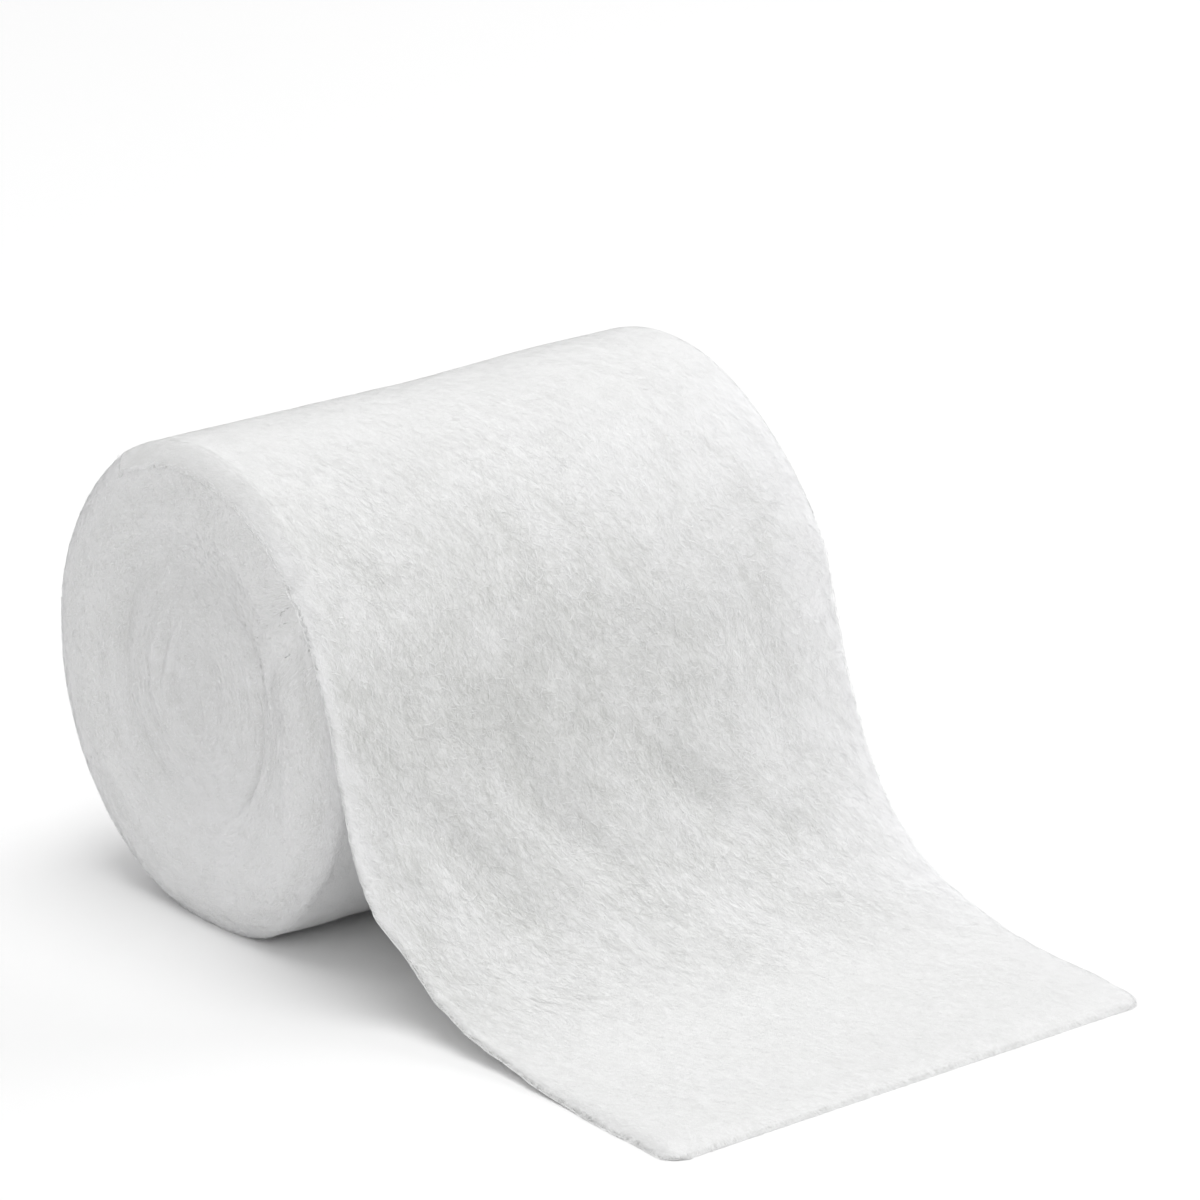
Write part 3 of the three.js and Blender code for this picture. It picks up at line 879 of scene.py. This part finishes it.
def padding_material(name, group, look, strands, clouds, bump_height):
    """The web itself: strands and clouds a metre, and how high they stand in metres."""
    material, tree, shader = plain_material(name, 0.95, 0.15)
    grain = tree.nodes.new("ShaderNodeAttribute")
    grain.attribute_name = "grain"
    place = tree.nodes.new("ShaderNodeTexCoord")
    fibre = tree.nodes.new("ShaderNodeGroup")
    fibre.node_tree = group
    fibre.inputs["Strands a Metre"].default_value = strands
    fibre.inputs["Clouds a Metre"].default_value = clouds
    tree.links.new(grain.outputs["Vector"], fibre.inputs["Grain"])
    tree.links.new(place.outputs["Object"], fibre.inputs["Place"])
    light = (*look.fibre_colour, 1.0)
    shade = (*look.shade_colour, 1.0)
    toned = mixed(tree, tone_output(tree), shade, light)
    lit = math_node(tree, "MULTIPLY", fibre.outputs["Strands"], 0.6)
    tree.links.new(mixed(tree, lit, toned, light), shader.inputs["Base Color"])
    raised = node(tree, "ShaderNodeBump", Strength=0.4, Distance=bump_height)
    tree.links.new(fibre.outputs["Height"], raised.inputs["Height"])
    tree.links.new(raised.outputs["Normal"], shader.inputs["Normal"])
    return material


def strand_material(look):
    """The single fibres that stand proud: the same white, a little varied."""
    material, tree, shader = plain_material("Proud Fibres", 0.9, 0.2)
    colour = mixed(tree, tone_output(tree), (*look.shade_colour, 1.0), (*look.fibre_colour, 1.0))
    tree.links.new(colour, shader.inputs["Base Color"])
    return material


def floor_material(colour):
    material, _, shader = plain_material("Pale Floor", 1.0, 0.0)
    shader.inputs["Base Color"].default_value = (*colour, 1.0)
    return material


# Sizes and looks that a user may change

class RollSizes(bpy.types.PropertyGroup):
    """How finely the padding is built."""
    roll_steps: bpy.props.IntProperty(name="Steps Around", description="Points round the wound turns",
                                      default=300, min=60)
    sheet_columns: bpy.props.IntProperty(name="Sheet Columns", description="Steps across the loose end",
                                         default=150, min=20)
    sheet_rows: bpy.props.IntProperty(name="Sheet Rows", description="Steps along the loose end",
                                      default=270, min=20)


class FibreSizes(bpy.types.PropertyGroup):
    """The loose fibres that lie over the padding."""
    length: bpy.props.FloatProperty(name="Length", description="Usual length of a fibre that shows",
                                    default=0.0021, unit="LENGTH", precision=4)
    thickness: bpy.props.FloatProperty(name="Thickness", description="Width of a strand of fibres",
                                       default=0.00010, unit="LENGTH", precision=5)
    on_sheet: bpy.props.IntProperty(name="On the Loose End", description="Fibres on its outer side",
                                    default=125000, min=0)
    on_roll: bpy.props.IntProperty(name="On the Roll", description="Fibres on the roll's end faces and back",
                                   default=60000, min=0)
    on_underside: bpy.props.IntProperty(name="Under the Loose End", description="Fibres on its underside",
                                        default=6000, min=0)


class PaddingLook(bpy.types.PropertyGroup):
    """Colours of the padding and the table."""
    fibre_colour: bpy.props.FloatVectorProperty(name="Fibre", description="Colour of the fibres in the light",
                                                default=(0.955, 0.956, 0.96), subtype="COLOR", min=0, max=1)
    shade_colour: bpy.props.FloatVectorProperty(name="Web", description="Colour of the web between them",
                                                default=(0.67, 0.675, 0.655), subtype="COLOR", min=0, max=1)
    floor_colour: bpy.props.FloatVectorProperty(name="Floor", description="Colour of the table",
                                                default=(1.0, 1.0, 1.0), subtype="COLOR", min=0, max=1)


LAMPS = (  # name, place in metres, share of the key light's power
    ("key_light", (0.0, 0.0, 1.7), 1.0),
    ("right_light", (1.6, 0.0, 0.9), 0.59),
    ("front_left_light", (-1.0, -1.2, 1.2), 0.33),
    ("front_light", (0.3, -1.6, 0.5), 0.27),
    ("left_light", (-1.6, 0.0, 0.7), 0.01),
    ("back_left_light", (-1.2, 1.2, 0.9), 0.15),
    ("back_right_light", (1.2, 1.1, 1.0), 0.10),
)
LIT_PLACE = (0, 0, 0.04)  # the middle of the roll's height, where the lights are turned to
FLOOR_REACH = 6.0


class StageSizes(bpy.types.PropertyGroup):
    """Camera and light."""
    camera_place: bpy.props.FloatVectorProperty(name="Camera", description="Where the camera stands",
                                                default=(-0.8176, -1.0698, 0.5263), subtype="TRANSLATION")
    azimuth: bpy.props.FloatProperty(name="Azimuth", description="Way the camera looks, round the object",
                                     default=math.radians(-37.4), subtype="ANGLE")
    elevation: bpy.props.FloatProperty(name="Elevation", description="How far the camera looks down",
                                       default=math.radians(19.28), subtype="ANGLE")
    lens: bpy.props.FloatProperty(name="Lens", description="Focal length in millimetres",
                                  default=275.12, subtype="DISTANCE_CAMERA")
    sky: bpy.props.FloatProperty(name="Sky", description="Strength of the even light all round",
                                 default=0.36)
    key: bpy.props.FloatProperty(name="Key Light", description="Power of the large soft light overhead",
                                 default=14.1, unit="POWER")
    lamp_size: bpy.props.FloatProperty(name="Lamp Size", description="How wide each soft light is",
                                       default=1.3, unit="LENGTH")


def looks():
    scene = bpy.context.scene
    return scene.padding_sizes, scene.padding_fibres, scene.padding_look, scene.padding_stage


def shared(name, make):
    """A material or node group by name, made the first time it is asked for."""
    return bpy.data.materials.get(name) or bpy.data.node_groups.get(name) or make()


def dressed(piece):
    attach(piece, "root")
    return piece


class PADDING_OT_wound_turns(bpy.types.Operator):
    """Build the wound turns with their end faces, core and soft shoulders"""
    bl_idname = "padding.wound_turns"
    bl_label = "Wound Turns"

    def execute(self, context):
        sizes, _, look, _ = looks()
        group = shared("Matted Fibre", matted_fibre_group)
        material = padding_material("Padding Turns", group, look, 2600.0, 90.0, 0.0006)
        roll = dressed(build_roll(sizes, material))
        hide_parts("wound_roll")
        return {"FINISHED"}


class PADDING_OT_loose_end(bpy.types.Operator):
    """Build the loose end that runs over the roll and down to the table"""
    bl_idname = "padding.loose_end"
    bl_label = "Loose End"

    def execute(self, context):
        sizes, _, look, _ = looks()
        group = shared("Matted Fibre", matted_fibre_group)
        material = padding_material("Padding Sheet", group, look, 1700.0, 75.0, 0.00028)
        sheet = dressed(build_sheet(sizes, material))
        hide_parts("loose_end")
        return {"FINISHED"}


class PADDING_OT_sheet_fibres(bpy.types.Operator):
    """Lay matted fibres over the loose end"""
    bl_idname = "padding.sheet_fibres"
    bl_label = "Fibres on the Loose End"

    def execute(self, context):
        _, fibres, look, _ = looks()
        material = shared("Proud Fibres", lambda: strand_material(look))
        for k, layer in enumerate(SHEET_LAYERS):
            dressed(sheet_fibres(layer, 101 + k, material, fibres))
        dressed(underside_fibres("sheet_fibres_under", fibres.on_underside, 104, material, fibres))
        return {"FINISHED"}


class PADDING_OT_roll_fibres(bpy.types.Operator):
    """Lay matted fibres over the roll's end faces and back"""
    bl_idname = "padding.roll_fibres"
    bl_label = "Fibres on the Roll"

    def execute(self, context):
        _, fibres, look, _ = looks()
        material = shared("Proud Fibres", lambda: strand_material(look))
        count = fibres.on_roll
        face = FLAT_RADIUS + SHOULDER_ARC
        far = (PROFILE_LENGTH - face, PROFILE_LENGTH)
        side = (face - 4, PROFILE_LENGTH - face + 4)
        rows = (
            ("roll_fibres_near", int(count * 0.50), (0, face), (0, 360), 0, 30, 151),
            ("roll_fibres_far", int(count * 0.12), far, (0, 360), 0, 30, 152),
            ("roll_fibres_side", int(count * 0.38), side, (168, 424), 44, 26, 153),
        )
        for name, number, w_range, angles, slant, spread, seed in rows:
            dressed(roll_fibres(name, number, w_range, angles, slant, spread, seed, material, fibres))
        return {"FINISHED"}


class PADDING_OT_stage(bpy.types.Operator):
    """Set the pale floor, the soft light and the camera"""
    bl_idname = "padding.stage"
    bl_label = "Stage"

    def execute(self, context):
        _, _, look, stage = looks()
        scene = context.scene
        scene.view_settings.view_transform = "Standard"
        corners = [(FLOOR_REACH * x, FLOOR_REACH * y, 0) for x, y in ((-1, -1), (1, -1), (1, 1), (-1, 1))]
        mesh = bpy.data.meshes.new("floor")
        mesh.from_pydata(corners, [], [(0, 1, 2, 3)])
        mesh.materials.append(floor_material(look.floor_colour))
        floor = bpy.data.objects.new("floor", mesh)
        scene.collection.objects.link(floor)

        world = bpy.data.worlds.new("Soft Studio")
        world.use_nodes = True
        sky = world.node_tree.nodes["Background"]
        sky.inputs["Color"].default_value = (1.0, 1.0, 1.0, 1.0)
        sky.inputs["Strength"].default_value = stage.sky
        scene.world = world

        for name, place, share in LAMPS:
            lamp = bpy.data.lights.new(name, "AREA")
            lamp.shape = "DISK"
            lamp.size = stage.lamp_size
            lamp.energy = stage.key * share
            light = bpy.data.objects.new(name, lamp)
            light.location = place
            light.rotation_euler = (Vector(LIT_PLACE) - Vector(place)).to_track_quat("-Z", "Y").to_euler()
            scene.collection.objects.link(light)

        camera_data = bpy.data.cameras.new("camera")
        camera_data.lens = stage.lens
        camera_data.sensor_width = 36.0
        camera_data.clip_start = 0.01
        camera_data.clip_end = 30.0
        camera = bpy.data.objects.new("camera", camera_data)
        back = Vector((math.sin(stage.azimuth) * math.cos(stage.elevation),
                       -math.cos(stage.azimuth) * math.cos(stage.elevation), math.sin(stage.elevation)))
        camera.location = stage.camera_place
        camera.rotation_euler = (-back).to_track_quat("-Z", "Y").to_euler()
        scene.collection.objects.link(camera)
        scene.camera = camera
        return {"FINISHED"}


class PADDING_PT_panel(bpy.types.Panel):
    """Lists the steps that build the padding roll"""
    bl_idname = "PADDING_PT_panel"
    bl_label = "Cast Padding Roll"
    bl_space_type = "VIEW_3D"
    bl_region_type = "UI"
    bl_category = "Padding"

    def draw(self, context):
        layout = self.layout
        scene = context.scene
        for group in (scene.padding_sizes, scene.padding_fibres, scene.padding_look, scene.padding_stage):
            column = layout.column(align=True)
            for name in group.__annotations__:
                column.prop(group, name)
        for step in OPERATORS:
            layout.operator(step.bl_idname)


GROUPS = (RollSizes, FibreSizes, PaddingLook, StageSizes)
GROUP_NAMES = ("padding_sizes", "padding_fibres", "padding_look", "padding_stage")
OPERATORS = (PADDING_OT_wound_turns, PADDING_OT_loose_end, PADDING_OT_sheet_fibres, PADDING_OT_roll_fibres,
             PADDING_OT_stage)


def register():
    for made in (*GROUPS, *OPERATORS, PADDING_PT_panel):
        bpy.utils.register_class(made)
    for name, group in zip(GROUP_NAMES, GROUPS):
        setattr(bpy.types.Scene, name, bpy.props.PointerProperty(type=group))


def unregister():
    for name in GROUP_NAMES:
        delattr(bpy.types.Scene, name)
    for made in reversed((*GROUPS, *OPERATORS, PADDING_PT_panel)):
        bpy.utils.unregister_class(made)


def main():
    register()
    bpy.ops.padding.stage()
    bpy.ops.padding.wound_turns()
    bpy.ops.padding.loose_end()
    bpy.ops.padding.sheet_fibres()
    bpy.ops.padding.roll_fibres()
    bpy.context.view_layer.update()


if __name__ == "__main__":
    main()
